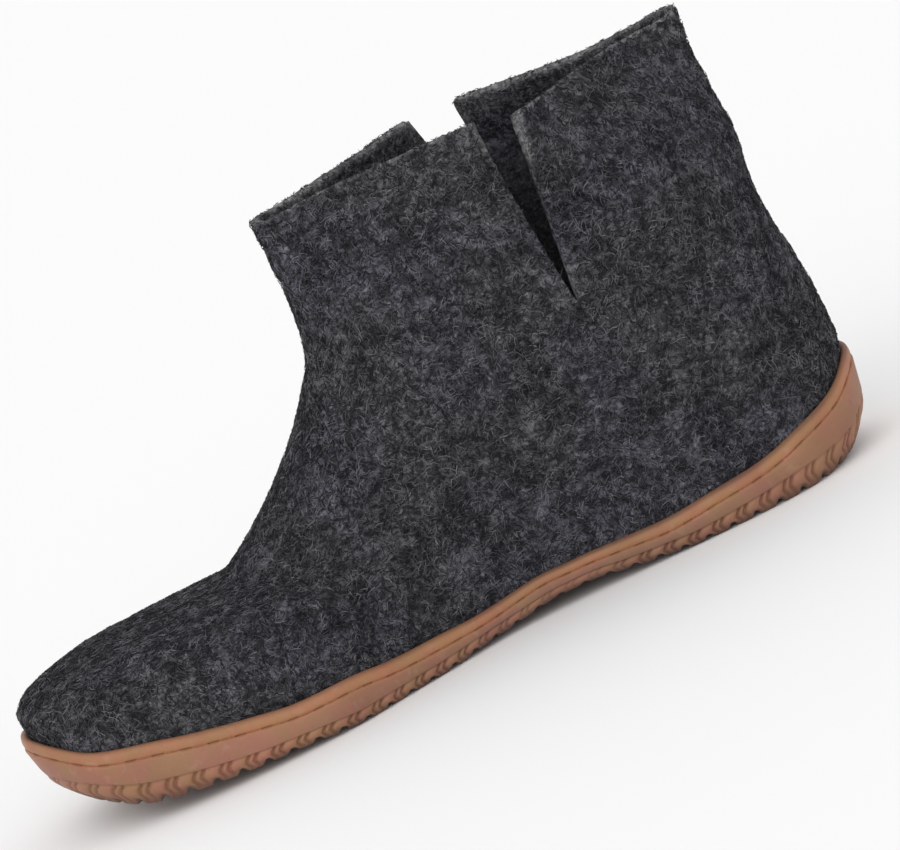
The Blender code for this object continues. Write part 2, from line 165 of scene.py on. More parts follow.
# One lug from the middle of its block to the middle of the bead beside it: share of the pitch, groove in the
# side (less than 0 where the block bulges), notch under it, stitch hole over it.
HALF_LUG = (
    (0.00, -0.30, 1.00, 0.0),
    (0.05, -0.29, 0.95, 0.0),
    (0.10, -0.25, 0.75, 0.0),
    (0.14, -0.20, 0.45, 0.0),
    (0.18, -0.13, 0.22, 0.0),
    (0.23, -0.02, 0.08, 0.0),
    (0.27, 0.20, 0.00, 0.0),
    (0.31, 0.75, 0.00, 0.4),
    (0.35, 1.00, 0.00, 0.9),
    (0.39, 0.70, 0.00, 1.0),
    (0.44, 0.20, 0.00, 1.0),
    (0.50, 0.05, 0.00, 1.0),
)
# Dirt on the wall at the sole's waist: its middle along the foot, reach, fade at each end, and strength.
WAIST_MIDDLE = 28.0
WAIST_REACH = 98.0
WAIST_FADE = 50.0
WAIST_GRIME = 0.34
# A darker streak just under the lip's edge: its height from the lip, reach up and down, where along the foot
# it starts, over how much of the foot it grows, and its strength from there to the heel.
STREAK_HEIGHT = -0.75
STREAK_REACH = 0.95
STREAK_START = -130.0
STREAK_GROWTH = 180.0
STREAK_DARKNESS = 0.56
# The lip was trimmed by hand: height of its waves and their lengths.
LIP_WAVES = ((0.2, 33.0), (0.16, 57.0))


def smooth(stations, values, at):
    """Cubic curve through values at rising stations, which never overshoots them, read at some places."""
    at = np.clip(np.asarray(at, float), stations[0], stations[-1])
    rates = np.diff(values) / np.diff(stations)
    before, after = rates[:-1], rates[1:]
    same_way = before * after > 0
    mean_rate = 2 * before * after / np.where(same_way, before + after, 1.0)
    slopes = np.concatenate([rates[:1], np.where(same_way, mean_rate, 0.0), rates[-1:]])
    i = np.clip(np.searchsorted(stations, at, side="right") - 1, 0, len(stations) - 2)
    step = stations[i + 1] - stations[i]
    t = (at - stations[i]) / step
    straight = values[i] + t * t * (3 - 2 * t) * (values[i + 1] - values[i])
    return straight + step * t * (1 - t) * ((1 - t) * slopes[i] - t * slopes[i + 1])


def smooth_step(share):
    """A smooth rise from 0 to 1, flat outside them."""
    share = np.clip(share, 0, 1)
    return share * share * (3 - 2 * share)


def sole_line(name, x):
    """Height of one line of the sole's side view at places x."""
    return smooth(SOLE_LINE[:, 0], SOLE_LINE[:, SOLE_COLUMNS[name]], x)


def outline_at(name, x):
    """Centre line or half width of the felt's plan at places x."""
    share = 0.5 - np.asarray(x, float) / FELT_LENGTH
    return smooth(OUTLINE[:, 0], OUTLINE[:, OUTLINE_COLUMNS[name]], share)


def rounding(share, bluntness, pinch=(ROUND_PINCH, ROUND_PINCH)):
    """How a ring's half width falls to nothing at its back (share 0) and its front (share 1)."""
    at_back = share < 0.5
    bluntness, pinch = np.where(at_back, *bluntness), np.where(at_back, *pinch)
    return np.clip(1 - np.abs(1 - 2 * share) ** bluntness, 0, None) ** pinch


def share_at(turns):
    """Share of a ring's length, from its back, at angles round it."""
    return (1 - np.cos(turns)) / 2


def plan_points(side, turns):
    """Plan of the felt at the sole on one side, as x and y at angles from the heel."""
    share = share_at(turns)
    x = FELT_LENGTH * (0.5 - share)
    width = outline_at("half_width", x) * rounding(share, (HEEL_BLUNTNESS, TOE_BLUNTNESS))
    return np.column_stack([x, outline_at("centre", x) + SIDES[side] * width])


class PlanSide:
    """One side of the felt's plan by the distance walked along it from heel to toe."""

    def __init__(self, side):
        self.points = plan_points(side, np.linspace(0, math.pi, PLAN_POINTS))
        steps = np.linalg.norm(np.diff(self.points, axis=0), axis=1)
        self.walked = np.concatenate([[0], np.cumsum(steps)])
        self.length = self.walked[-1]
        ahead = np.gradient(self.points, axis=0)
        normals = SIDES[side] * np.column_stack([ahead[:, 1], -ahead[:, 0]])
        normals[0], normals[-1] = (1, 0), (-1, 0)
        self.normals = normals / np.linalg.norm(normals, axis=1, keepdims=True)

    def at(self, walked):
        """Places and outward normals at distances from the heel."""
        columns = [np.interp(walked, self.walked, c) for c in (*self.points.T, *self.normals.T)]
        return np.column_stack(columns[:2]), np.column_stack(columns[2:])


plan_sides = {side: PlanSide(side) for side in SIDES}


def edge_ring(side, walked, row, groove=0.0, notch=0.0, hole=0.0):
    """Points of one row of the sole's edge on one side, with grooves, notches and stitch holes cut in."""
    row = dict(zip(EDGE_COLUMNS, row))
    plan = plan_sides[side]
    place = plan.at(walked)[0]
    from_end = FELT_LENGTH / 2 - np.abs(place[:, 0])
    turned, tall = (smooth_step(1 - from_end / reach) for reach in (TURN_REACH, TALL_REACH))
    upright = np.clip(np.minimum(walked, plan.length - walked) / LEAN_FADE, 0, 1)
    place, normal = plan.at(walked + row["lean"] * (1 + turned) * upright)
    wall = sole_line("lip", place[:, 0]) - sole_line("tread", place[:, 0])
    fade = smooth_step((wall - BARE_WALL) / (FULL_WALL - BARE_WALL))
    out = row["side_out"] + turned * (row["end_out"] - row["side_out"])
    out = out - row["groove"] * groove * SIDE_GROOVE_DEPTH * fade - row["hole"] * hole * HOLE_DEPTH
    height = row["side_height"] + tall * (row["end_height"] - row["side_height"])
    height = height * np.minimum(1, wall / FULL_WALL)
    height = height + row["notch"] * notch * NOTCH_DEPTH * (BARE_NOTCH + (1 - BARE_NOTCH) * fade)
    ring = place + normal * out[:, None]
    if row["measured_from"] == "lip":
        height = height + sum(rise * np.sin(2 * math.pi * walked / length) for rise, length in LIP_WAVES)
    return np.column_stack([ring, sole_line(row["measured_from"], ring[:, 0]) + height])


def lug_columns():
    """Share of a side, then groove, notch and hole of each column of points along it."""
    half = np.array(HALF_LUG)
    mirrored = half[-2:0:-1] * (-1, 1, 1, 1) + (1, 0, 0, 0)
    lug = np.concatenate([half, mirrored])
    columns = np.concatenate([lug + (k, 0, 0, 0) for k in range(LUGS_A_SIDE)])
    return columns[:, 0] / LUGS_A_SIDE, columns[:, 1:]


def both_sides(make):
    """A closed ring from the heel along the medial side to the toe and back along the lateral side."""
    share, cuts = lug_columns()
    medial = make("medial", share * plan_sides["medial"].length, *cuts.T)
    lateral = make("lateral", (1 - share) * plan_sides["lateral"].length, *cuts.T)
    return np.concatenate([medial, lateral])


def floor_ring(side, walked, *cuts):
    """The edge of the cup's floor, just outside the felt."""
    place, normal = plan_sides[side].at(walked)
    place = place + normal * GAP
    return np.column_stack([place, sole_line("floor", place[:, 0])])


def closed_tube(rings):
    """A bmesh with walls through rings of equal length, and strips across the first and the last ring."""
    mesh_builder = bmesh.new()
    rows = [[mesh_builder.verts.new(point) for point in ring] for ring in rings]
    for low, high in zip(rows, rows[1:]):
        for j in range(len(low)):
            mesh_builder.faces.new((low[j - 1], low[j], high[j], high[j - 1]))
    for end in (rows[0], rows[-1]):
        count = len(end)
        for i in range(count // 2):
            corners = (end[i], end[i + 1], end[count - i - 1], end[(count - i) % count])
            mesh_builder.faces.new(list(dict.fromkeys(corners)))
    return mesh_builder


def add_object(name, data):
    """A new object in the scene."""
    made = bpy.data.objects.new(name, data)
    bpy.context.scene.collection.objects.link(made)
    return made


def finished(name, mesh_builder, materials):
    """A smooth piece from a bmesh in millimetres, moved and scaled to the part's frame."""
    bmesh.ops.translate(mesh_builder, vec=(0, SIDE_SHIFT, 0), verts=mesh_builder.verts)
    bmesh.ops.scale(mesh_builder, vec=(MM, MM, MM), verts=mesh_builder.verts)
    mesh = bpy.data.meshes.new(name)
    mesh_builder.to_mesh(mesh)
    mesh_builder.free()
    mesh.shade_smooth()
    for material in materials:
        mesh.materials.append(material)
    return add_object(name, mesh)


class Output:
    """An output socket in a node tree. Operators add Math nodes to it, and node() adds any other kind."""

    def __init__(self, tree, socket=None):
        self.tree = tree
        self.socket = socket

    def node(self, kind, sockets=(), output=0, **settings):
        """Adds a node: its settings first, then the values or links of its sockets. Returns one output."""
        made = self.tree.nodes.new(kind)
        for name, value in settings.items():
            setattr(made, name, value)
        for key, value in dict(sockets).items():
            if isinstance(value, Output):
                self.tree.links.new(value.socket, made.inputs[key])
            else:
                made.inputs[key].default_value = value
        return Output(self.tree, made.outputs[output])

    def other(self, output):
        """Another output of the same node."""
        return Output(self.tree, self.socket.node.outputs[output])

    def math(self, operation, *values):
        """A Math node on values or outputs."""
        return self.node("ShaderNodeMath", dict(enumerate(values)), operation=operation)

    def vector(self, operation, *values, **factor):
        """A Vector Math node on vectors or outputs."""
        return self.node("ShaderNodeVectorMath", {**dict(enumerate(values)), **factor}, operation=operation)

    def __add__(self, other):
        return self.math("ADD", self, other)

    def __sub__(self, other):
        return self.math("SUBTRACT", self, other)

    def __rsub__(self, other):
        return self.math("SUBTRACT", other, self)

    def __mul__(self, other):
        return self.math("MULTIPLY", self, other)

    def __abs__(self):
        return self.math("ABSOLUTE", self)

    __radd__ = __add__
    __rmul__ = __mul__

    def rise(self, low, high):
        """0 below low, 1 above high and a smooth step between them."""
        limits = {"Value": self, "From Min": low, "From Max": high}
        return self.node("ShaderNodeMapRange", limits, interpolation_type="SMOOTHSTEP")

    def mix(self, first, second):
        """Goes from one colour to another as this value goes from 0 to 1."""
        return self.node("ShaderNodeMix", {0: self, 6: first, 7: second}, output=2, data_type="RGBA")

    def noise(self, scale, detail=2.0, distortion=0.0):
        """Noise of a scale per metre on these coordinates."""
        sockets = {"Vector": self, "Scale": scale, "Detail": detail, "Distortion": distortion}
        return self.node("ShaderNodeTexNoise", sockets)

    def pattern(self, scale, detail, distortion, low, high):
        """Noise on these coordinates that rises from 0 to 1 between two of its values."""
        return self.noise(scale, detail, distortion).rise(low, high)

    def point_value(self, name):
        """A number that a mesh keeps for each of its points."""
        return self.node("ShaderNodeAttribute", output="Fac", attribute_name=name)


def new_material(name, roughness, **constants):
    """A material, its Principled shader, and its Object coordinates."""
    made = bpy.data.materials.new(name)
    made.use_nodes = True
    tree = made.node_tree
    shader = tree.nodes["Principled BSDF"]
    shader.inputs["Roughness"].default_value = roughness
    for socket, value in constants.items():
        shader.inputs[socket.replace("_", " ")].default_value = value
    coordinates = Output(tree).node("ShaderNodeTexCoord", output="Object")
    return made, shader, coordinates


def plug(shader, socket, shade):
    """Feeds one of a shader's sockets."""
    shade.tree.links.new(shade.socket, shader.inputs[socket])


def give_bump(shader, height, strength, distance):
    """Feeds a height to a shader's normal through a Bump node, at a distance in millimetres."""
    sockets = {"Height": height, "Strength": strength, "Distance": distance * MM}
    plug(shader, "Normal", height.node("ShaderNodeBump", sockets))


# Two tones each of the wall and of the warmer band over it, then scuffs, clouds, dirt and painted shade.
OLIVE_WALL = (0.268, 0.131, 0.063, 1.0)
PINK_WALL = (0.308, 0.125, 0.08, 1.0)
BAND_COLOUR = (0.385, 0.153, 0.072, 1.0)
OLIVE_BAND = (0.345, 0.165, 0.068, 1.0)
PALE_RUBBER = (0.39, 0.24, 0.16, 1.0)
DARK_RUBBER = (0.17, 0.072, 0.043, 1.0)
SHADE_AND_GRIME_COLOUR = (0.066, 0.032, 0.024, 1.0)
# Patterns in the rubber: scale per metre, octaves and warp of their noise, and where it starts and is full.
CLOUDS = (55, 3, 0.0, 0.35, 0.7)
SCUFFS = (260, 4, 0.4, 0.56, 0.75)
PORES = (1500, 2, 0.0, 0.6, 0.8)
BLOTCHES = (110, 3, 0.3, 0.36, 0.64)
SKIN = (420, 3)
# How strong each is in the colour, in the roughness and in the bump.
CLOUD_SHADE = 0.3
SCUFF_SHADE = 0.35
PORE_SHADE = 0.25
CLOUD_DULLNESS = 0.12
SCUFF_DULLNESS = 0.1
SCUFF_HEIGHT = 0.4
PORE_HEIGHT = -0.6
SKIN_HEIGHT = 0.8
RUBBER_ROUGHNESS = 0.5
# Share of the dirt and painted shade that lies evenly. The rest follows the clouds.
EVEN_SHADE_AND_GRIME = 0.75

rubber, rubber_shader, coords = new_material("gum_rubber", RUBBER_ROUGHNESS)
cloud, scuff, pore, blotch = (coords.pattern(*sizes) for sizes in (CLOUDS, SCUFFS, PORES, BLOTCHES))
wall_colour = blotch.mix(OLIVE_WALL, PINK_WALL)
colour = coords.point_value("warmth").mix(wall_colour, blotch.mix(OLIVE_BAND, BAND_COLOUR))
colour = (cloud * CLOUD_SHADE).mix(colour, DARK_RUBBER)
colour = (scuff * SCUFF_SHADE).mix(colour, PALE_RUBBER)
colour = (pore * PORE_SHADE).mix(colour, DARK_RUBBER)
# Dirt and painted shade: the sole is painted darker under its lugs and in its grooves, notches and stitch
# holes.
grime = coords.point_value("grime") * (EVEN_SHADE_AND_GRIME + cloud * (1 - EVEN_SHADE_AND_GRIME))
plug(rubber_shader, "Base Color", grime.mix(colour, SHADE_AND_GRIME_COLOUR))
plug(rubber_shader, "Roughness", RUBBER_ROUGHNESS + cloud * CLOUD_DULLNESS + scuff * SCUFF_DULLNESS)
rubber_height = scuff * SCUFF_HEIGHT + pore * PORE_HEIGHT + coords.noise(*SKIN) * SKIN_HEIGHT
give_bump(rubber_shader, rubber_height, strength=0.5, distance=0.25)


def edge_tones(row, ring):
    """How warm each point of one row of the sole's edge is, and how dark with dirt and painted shade."""
    row = dict(zip(EDGE_COLUMNS, row))
    along = ring[:, 0]
    cuts = np.tile(lug_columns()[1], (2, 1))
    # Painted shade in grooves, notches and stitch holes, and a painted highlight where a block bulges.
    in_cuts = cuts @ [row["groove"] * GROOVE_SHADE_AND_HIGHLIGHT, row["notch"] * NOTCH_PAINTED_SHADE, row["hole"] * HOLE_PAINTED_SHADE]
    waist = smooth_step((WAIST_REACH - np.abs(along - WAIST_MIDDLE)) / WAIST_FADE)
    shade_and_dirt = row["grime"] + in_cuts + WAIST_GRIME * waist * (1 - row["warmth"])
    if row["measured_from"] == "lip":
        nearness = max(0, 1 - abs(row["side_height"] - STREAK_HEIGHT) / STREAK_REACH)
        shade_and_dirt = shade_and_dirt + STREAK_DARKNESS * nearness * np.clip((along - STREAK_START) / STREAK_GROWTH, 0, 1)
    return np.full(len(ring), row["warmth"]), shade_and_dirt


def store(mesh, name, values):
    """Keeps a number for each of a mesh's points, for materials and trees to read."""
    mesh.attributes.new(name, "FLOAT", "POINT").data.foreach_set("value", values.astype(np.float32))


sole_rings = [both_sides(floor_ring)]
for edge_row in SOLE_EDGE:
    sole_rings.append(both_sides(lambda side, walked, *cuts: edge_ring(side, walked, edge_row, *cuts)))
sole_mesh = closed_tube(sole_rings)
bmesh.ops.recalc_face_normals(sole_mesh, faces=sole_mesh.faces)
outsole = finished("outsole_rubber", sole_mesh, [rubber])
tones = [np.zeros((2, len(sole_rings[0])))]
tones += [edge_tones(edge_row, ring) for edge_row, ring in zip(SOLE_EDGE, sole_rings[1:])]
for label, values in zip(("warmth", "grime"), np.concatenate(tones, axis=1)):
    store(outsole.data, label, values)
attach(outsole, "root")
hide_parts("outsole")

# Tread ribs
# Zigzag ribs across the foot, moulded in one with the sole inside its ring of lugs. Their faces lie on the
# floor under the ball and the heel, and dirt has gathered on them.

# The stretch of the foot that has ribs, and their pitch and sizes.
RIB_FIELD = (-118.0, 124.0)
RIB_PITCH = 9.0
RIB_WIDTH = 6.2
RIB_DEPTH = 2.3
RIB_BEVEL = 0.35
# Swing and wave length of the zigzag, step between its points, the room that it leaves to the lugs, and dirt.
RIB_SWING = 1.5
RIB_WAVE = 16.0
RIB_STEP = 2.0
RIB_MARGIN = 9.5
RIB_GRIME = 0.3


class NodeTree(Output):
    """A Geometry Nodes tree with named inputs, built node by node."""

    def __init__(self, name, **inputs):
        super().__init__(bpy.data.node_groups.new(name, "GeometryNodeTree"))
        self.names = {}
        for label, kind in inputs.items():
            socket = self.tree.interface.new_socket(label, in_out="INPUT", socket_type="NodeSocket" + kind)
            self.names[label] = socket.identifier
        self.tree.interface.new_socket("Geometry", in_out="OUTPUT", socket_type="NodeSocketGeometry")
        self.entry = self.tree.nodes.new("NodeGroupInput")
        self.end = self.tree.nodes.new("NodeGroupOutput")

    def __getitem__(self, label):
        """One of the tree's own inputs."""
        return Output(self.tree, self.entry.outputs[label])

    def finish(self, geometry):
        """Ends the tree: instances made real and given their material."""
        real = self.node("GeometryNodeRealizeInstances", {"Geometry": geometry})
        done = self.node("GeometryNodeSetMaterial", {"Geometry": real, "Material": self["Material"]})
        self.tree.links.new(done.socket, self.end.inputs[0])


def made_real(name, source, node_tree, values):
    """Runs a tree on an object with its inputs set, and returns the plain mesh as a new piece."""
    run = source.modifiers.new(node_tree.tree.name, "NODES")
    run.node_group = node_tree.tree
    for label, value in values.items():
        run[node_tree.names[label]] = value
    graph = bpy.context.evaluated_depsgraph_get()
    mesh = bpy.data.meshes.new_from_object(source.evaluated_get(graph))
    source.modifiers.remove(run)
    mesh.name = name
    return add_object(name, mesh)


def path_object(name, lines, closed):
    """A curve through lists of points in millimetres, for a tree to work on."""
    curve = bpy.data.curves.new(name, "CURVE")
    curve.dimensions = "3D"
    for line in lines:
        points = (np.asarray(line) + (0, SIDE_SHIFT, 0)) * MM
        spline = curve.splines.new("POLY")
        spline.points.add(len(points) - 1)
        spline.points.foreach_set("co", np.column_stack([points, np.ones(len(points))]).ravel())
        spline.use_cyclic_u = closed
    return add_object(name, curve)


def rib_line(middle):
    """The middle of one zigzag rib across the sole, half its depth over the tread."""
    share = 0.5 - middle / FELT_LENGTH
    reach = outline_at("half_width", middle) * rounding(share, (HEEL_BLUNTNESS, TOE_BLUNTNESS)) - RIB_MARGIN
    across = np.linspace(-reach, reach, 2 + int(2 * reach / RIB_STEP))
    x = middle + RIB_SWING * 2 / math.pi * np.arcsin(np.sin(2 * math.pi * across / RIB_WAVE))
    return np.column_stack([x, outline_at("centre", middle) + across, sole_line("tread", x) + RIB_DEPTH / 2])


rib_tree = NodeTree(
    "tread_ribs", Lines="Geometry", Width="Float", Depth="Float", Bevel="Float", Grime="Float",
    Material="Material",
)
upright_lines = rib_tree.node("GeometryNodeSetCurveNormal", {"Curve": rib_tree["Lines"]}, mode="Z_UP")
rib_block = rib_tree.node("GeometryNodeCurvePrimitiveQuadrilateral", {
    "Width": rib_tree["Width"], "Height": rib_tree["Depth"],
})
rib_profile = rib_tree.node("GeometryNodeFilletCurve", {
    "Curve": rib_block, "Radius": rib_tree["Bevel"], "Count": 1,
}, mode="POLY")
rib_bars = rib_tree.node("GeometryNodeCurveToMesh", {
    "Curve": upright_lines, "Profile Curve": rib_profile, "Fill Caps": True,
})
grimy_bars = rib_tree.node("GeometryNodeStoreNamedAttribute", {
    "Geometry": rib_bars, "Name": "grime", "Value": rib_tree["Grime"],
}, data_type="FLOAT", domain="POINT")
rib_tree.finish(grimy_bars)

rib_middles = np.arange(*RIB_FIELD, RIB_PITCH)
rib_lines = path_object("rib_lines", [rib_line(middle) for middle in rib_middles], closed=False)
ribs = made_real("tread_ribs", rib_lines, rib_tree, {
    "Width": RIB_WIDTH * MM,
    "Depth": RIB_DEPTH * MM,
    "Bevel": RIB_BEVEL * MM,
    "Grime": RIB_GRIME,
    "Material": rubber,
})
bpy.data.objects.remove(rib_lines)
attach(ribs, "root")

# Stitches
# A row of thick waxed thread in the groove under the lip, which holds the cup to the felt. Each stitch comes
# out of one hole, lies in the groove and goes down the next, and the holes between them stay dark, with
# painted shade in them on the sole.

# The stitches lie along a row like those of the sole's edge, each of this length and thickness.
STITCH_ROW = ("lip", 2.4, -4.1, 2.65, -4.3, 0, 0, 0, 0, 0, 0)
STITCH_LENGTH = 6.0
STITCH_THICKNESS = 0.8
THREAD_COLOUR = (0.30, 0.108, 0.055, 1.0)
THREAD_TWIST = (900, 3, 1.0, 0.4, 0.65)
TWIST_SHADE = 0.5

thread, thread_shader, coords = new_material("waxed_thread", roughness=0.7)
twist = coords.pattern(*THREAD_TWIST)
plug(thread_shader, "Base Color", (twist * TWIST_SHADE).mix(THREAD_COLOUR, DARK_RUBBER))
give_bump(thread_shader, twist, strength=0.6, distance=0.2)

stitch_tree = NodeTree("stitches", Groove="Geometry", Length="Float", Thickness="Float", Material="Material")
stitch_points = stitch_tree.node("GeometryNodeCurveToPoints", {
    "Curve": stitch_tree["Groove"],
}, mode="EVALUATED")
stitch_ball = stitch_tree.node("GeometryNodeMeshUVSphere", {"Segments": 8, "Rings": 8, "Radius": 0.5})
stitch_size = stitch_tree.node("ShaderNodeCombineXYZ", {
    "X": stitch_tree["Length"],
    "Y": stitch_tree["Thickness"],
    "Z": stitch_tree["Thickness"],
})
stitch_turn = stitch_tree.node("FunctionNodeAlignRotationToVector", {
    "Vector": stitch_points.other("Tangent"),
}, axis="X")
stitches_placed = stitch_tree.node("GeometryNodeInstanceOnPoints", {
    "Points": stitch_points, "Instance": stitch_ball, "Rotation": stitch_turn, "Scale": stitch_size,
})
smooth_stitches = stitch_tree.node("GeometryNodeSetShadeSmooth", {
    "Geometry": stitch_tree.node("GeometryNodeRealizeInstances", {"Geometry": stitches_placed}),
})
stitch_tree.finish(smooth_stitches)

groove_points = both_sides(lambda side, walked, *cuts: edge_ring(side, walked, STITCH_ROW))
points_a_lug = 2 * len(HALF_LUG) - 2
groove = path_object("stitch_groove", [groove_points[::points_a_lug]], closed=True)
stitches = made_real("stitches", groove, stitch_tree, {
    "Length": STITCH_LENGTH * MM,
    "Thickness": STITCH_THICKNESS * MM,
    "Material": thread,
})
bpy.data.objects.remove(groove)
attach(stitches, "root")

# Insole
# A loose footbed of thick grey felt, cut to the inside of the upper with its top edge rounded. It lies on the
# cup's floor and nothing holds it.

# Thickness of the upper's felt and of the footbed.
FELT_WALL = 3.5
INSOLE_THICKNESS = 4.0
# Profile of its edge: inset, and share of the thickness. Then the rings of its top, by share of the width.
INSOLE_EDGE = ((0.0, 0.0), (0.0, 0.35), (0.0, 0.75), (0.5, 0.93), (1.3, 1.0))
INSOLE_SHRINK = (0.75, 0.5, 0.25)
# One in so many of the sole's columns is used, and points closer than the second value are one.
INSOLE_STEP = 6
WELD = 0.003
INSOLE_DARK = (0.07, 0.069, 0.072, 1.0)
INSOLE_LIGHT = (0.3, 0.295, 0.295, 1.0)
# Patterns as in the rubber, and their shares in how pale the footbed is.
TUFTS = (700, 4, 1.2, 0.35, 0.7)
TUFT_SHARE = 0.6
FOOTBED_CLOUDS = (120, 2)
FOOTBED_CLOUD_SHARE = 0.3

footbed, footbed_shader, coords = new_material("insole_felt", roughness=0.95, Specular_IOR_Level=0.06)
tuft = coords.pattern(*TUFTS)
footbed_shade = tuft * TUFT_SHARE + coords.noise(*FOOTBED_CLOUDS) * FOOTBED_CLOUD_SHARE
plug(footbed_shader, "Base Color", footbed_shade.mix(INSOLE_DARK, INSOLE_LIGHT))
give_bump(footbed_shader, tuft, strength=0.7, distance=0.5)


def insole_ring(inset, rise, share):
    """A ring of the footbed: inset from the felt, at a share of its thickness and of its width."""
    def make(side, walked, *cuts):
        place, normal = plan_sides[side].at(walked)
        place = place - normal * (FELT_WALL + GAP + inset)
        centre = outline_at("centre", place[:, 0])
        place[:, 1] = centre + (place[:, 1] - centre) * share
        return np.column_stack([place, sole_line("floor", place[:, 0]) + GAP + rise * INSOLE_THICKNESS])
    return both_sides(make)[::INSOLE_STEP]


insole_rings = [insole_ring(inset, rise, 1.0) for inset, rise in INSOLE_EDGE]
insole_rings += [insole_ring(INSOLE_EDGE[-1][0], 1.0, share) for share in INSOLE_SHRINK]
insole_mesh = closed_tube(insole_rings)
bmesh.ops.remove_doubles(insole_mesh, verts=insole_mesh.verts, dist=WELD)
bmesh.ops.recalc_face_normals(insole_mesh, faces=insole_mesh.faces)
insole = finished("insole_footbed", insole_mesh, [footbed])
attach(insole, "root")
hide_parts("insole")

# Upper
# One seamless shell of thick charcoal wool felt, shrunk to shape on a last. The collar and the slit at each
# side are cut with shears, so their edges are raw and paler, and the shaft keeps the fold that it was pressed
# flat along.

# Sections from just over the lip to the collar: back x and z, ridge x and z, sag between them, half width,
# share of the sole's plan kept, bluntness and pinch of back and front, rows up to the next section.
SECTION_COLUMNS = (
    "back_x", "back_z", "front_x", "front_z", "sag", "half_width", "foot_share",
    "back_bluntness", "front_bluntness", "back_pinch", "front_pinch", "rows",
)
SECTIONS = np.array([
    (142.5, 37.9, -141.5, 42.2, 15.5, 46.0, 1.00, 7.0, 5.0, 0.50, 0.50, 5),
    (142.3, 46.9, -135.6, 46.8, 14.5, 45.0, 0.95, 6.0, 4.0, 0.50, 0.50, 6),
    (141.8, 56.0, -113.6, 50.7, 14.0, 44.0, 0.85, 5.0, 2.8, 0.50, 0.50, 6),
    (140.8, 64.0, -87.6, 50.1, 12.5, 42.5, 0.70, 4.4, 2.4, 0.50, 0.50, 5),
    (139.8, 70.0, -71.5, 49.6, 10.0, 41.5, 0.55, 4.0, 2.4, 0.50, 0.50, 6),
    (138.5, 78.5, -46.0, 63.6, 7.5, 40.0, 0.40, 3.5, 2.3, 0.50, 0.50, 7),
    (137.8, 91.0, -21.8, 86.9, 2.5, 39.0, 0.20, 3.0, 2.2, 0.52, 0.52, 5),
    (139.1, 103.0, -11.3, 104.3, 0.5, 39.5, 0.05, 2.4, 2.1, 0.65, 0.62, 7),
    (138.9, 123.0, -9.2, 124.2, 0.0, 41.0, 0.00, 1.8, 1.7, 0.95, 0.90, 10),
    (138.9, 151.2, -9.9, 147.5, 0.0, 43.0, 0.00, 1.2, 1.1, 2.00, 1.50, 1),
])
# How far the foot swells out over the sole's plan.
FELT_BULGE = 1.2
# The fold at the back and the front: its radius, and the pinch of an end that is folded in full.
CREASE_RADIUS = 4.8
FOLDED_PINCH = 0.75
# Columns of faces in each panel on one side.
REAR_COLUMNS = 22
FRONT_COLUMNS = 46
# Rows from the felt's seat in the cup to the lip, and how far the felt has swelled out on the way up to the
# first section, by share of that height.
SEAT_ROWS = 3
SWELL = ((0.0, 0.0), (0.3, 0.55), (0.65, 0.9))
# The slits: the section of their tips, places of tip and top along the foot, half of the gap at the top, and
# the power of the height by which they widen, under 1 because their sides bow.
SLIT_TIP_SECTION = 6
SLIT_TIP_X = 67.9
SLIT_TOP_X = {"medial": 66.5, "lateral": 59.3}
SLIT_HALF_GAP = {"medial": 5.4, "lateral": 9.2}
SLIT_BOW = 0.85
# How far each panel's corner beside the slit stands out, droops, and is bent to the back, and how far the
# collar sags between the slit and the fold.
PANEL_CORNERS = {
    ("medial", "rear"): (6.0, 1.6, 3.0, 0.0),
    ("medial", "front"): (-4.0, -1.0, 0.0, 0.0),
    ("lateral", "rear"): (-4.0, -0.7, 0.0, 1.5),
    ("lateral", "front"): (4.0, -1.7, 0.0, 0.0),
}
# How far the medial edge lies below the lateral one where the two are pressed together, and how far along the
# collar that reaches from the fold.
COLLAR_DIP = {"rear": (1.8, 22.0), "front": (1.4, 20.0)}


def crease(share, length, pinch):
    """Half width of the felt's fold at the back and the front of a ring, none where the end is round."""
    depth = np.minimum(share, 1 - share) * length
    fold = np.sqrt(np.clip(1 - np.clip(1 - depth / CREASE_RADIUS, 0, None) ** 2, 0, 1))
    folded = (np.where(share < 0.5, *pinch) - ROUND_PINCH) / (FOLDED_PINCH - ROUND_PINCH)
    return CREASE_RADIUS * fold * np.clip(folded, 0, 1)


def soft_bump(squared_distance):
    """1 at no distance, and about an eighth at a distance of 1."""
    return np.exp(-2 * squared_distance)


def panel_turns(panel, rear_end, front_start):
    """Angles of a panel's columns on one side, from back to front, up to or from the slit."""
    if panel == "rear":
        return np.linspace(0, math.acos(1 - 2 * rear_end), REAR_COLUMNS + 1)
    return np.linspace(math.acos(1 - 2 * front_start), math.pi, FRONT_COLUMNS + 1)


def section_rows():
    """Every row of the upper above the lip, as its sections and the rows worked out between them."""
    places = [i + k / rows for i, rows in enumerate(SECTIONS[:, -1]) for k in range(int(rows))]
    stations = np.arange(len(SECTIONS))
    columns = [smooth(stations, column, places) for column in SECTIONS.T]
    return [dict(zip(SECTION_COLUMNS, row)) for row in zip(*columns)]


def middle_height(row):
    """Height of a row of the upper at the middle of its sag."""
    return (row["back_z"] + row["front_z"]) / 2 - row["sag"]


